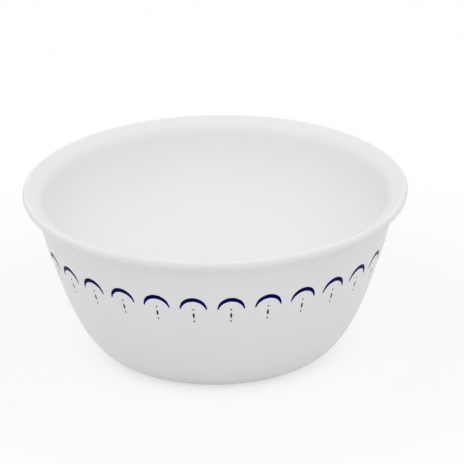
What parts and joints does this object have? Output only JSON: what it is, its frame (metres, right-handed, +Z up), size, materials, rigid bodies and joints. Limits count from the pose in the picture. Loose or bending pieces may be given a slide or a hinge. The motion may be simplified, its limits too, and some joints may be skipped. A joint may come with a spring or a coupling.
{
  "type": "dip bowl",
  "caption": "Small round opal glass bowl with a full belly, a short out-turned lip, a low foot ring and an enamel border of arcs and dashes, for serving dips and sauces.",
  "frame": {"origin": "middle of the circle on which the foot ring stands, so z = 0 is the table", "axes": "+Z up along the bowl's axis of turning; -Y faces the viewer, between two arcs of the border"},
  "size_m": [0.1, 0.1, 0.044],
  "materials": {
    "opal_glass": "gloss white opal",
    "navy_enamel": "gloss navy enamel",
    "grey_enamel": "gloss dark grey enamel"
  },
  "bodies": {
    "root": {"bowl_body": "opal_glass", "blue_arc_01": "navy_enamel", "blue_arc_02": "navy_enamel", "blue_arc_03": "navy_enamel", "blue_arc_04": "navy_enamel", "blue_arc_05": "navy_enamel", "blue_arc_06": "navy_enamel", "blue_arc_07": "navy_enamel", "blue_arc_08": "navy_enamel", "blue_arc_09": "navy_enamel", "blue_arc_10": "navy_enamel", "blue_arc_11": "navy_enamel", "blue_arc_12": "navy_enamel", "blue_arc_13": "navy_enamel", "blue_arc_14": "navy_enamel", "blue_arc_15": "navy_enamel", "blue_arc_16": "navy_enamel", "blue_arc_17": "navy_enamel", "blue_arc_18": "navy_enamel", "blue_arc_19": "navy_enamel", "blue_arc_20": "navy_enamel", "blue_arc_21": "navy_enamel", "blue_arc_22": "navy_enamel", "blue_arc_23": "navy_enamel", "blue_arc_24": "navy_enamel", "blue_arc_25": "navy_enamel", "blue_arc_26": "navy_enamel", "blue_arc_27": "navy_enamel", "blue_arc_28": "navy_enamel", "grey_dash_01": "grey_enamel", "grey_dash_02": "grey_enamel", "grey_dash_03": "grey_enamel", "grey_dash_04": "grey_enamel", "grey_dash_05": "grey_enamel", "grey_dash_06": "grey_enamel", "grey_dash_07": "grey_enamel", "grey_dash_08": "grey_enamel", "grey_dash_09": "grey_enamel", "grey_dash_10": "grey_enamel", "grey_dash_11": "grey_enamel", "grey_dash_12": "grey_enamel", "grey_dash_13": "grey_enamel", "grey_dash_14": "grey_enamel", "grey_dash_15": "grey_enamel", "grey_dash_16": "grey_enamel", "grey_dash_17": "grey_enamel", "grey_dash_18": "grey_enamel", "grey_dash_19": "grey_enamel", "grey_dash_20": "grey_enamel", "grey_dash_21": "grey_enamel", "grey_dash_22": "grey_enamel", "grey_dash_23": "grey_enamel", "grey_dash_24": "grey_enamel", "grey_dash_25": "grey_enamel", "grey_dash_26": "grey_enamel", "grey_dash_27": "grey_enamel", "grey_dash_28": "grey_enamel"}
  },
  "joints": []
}
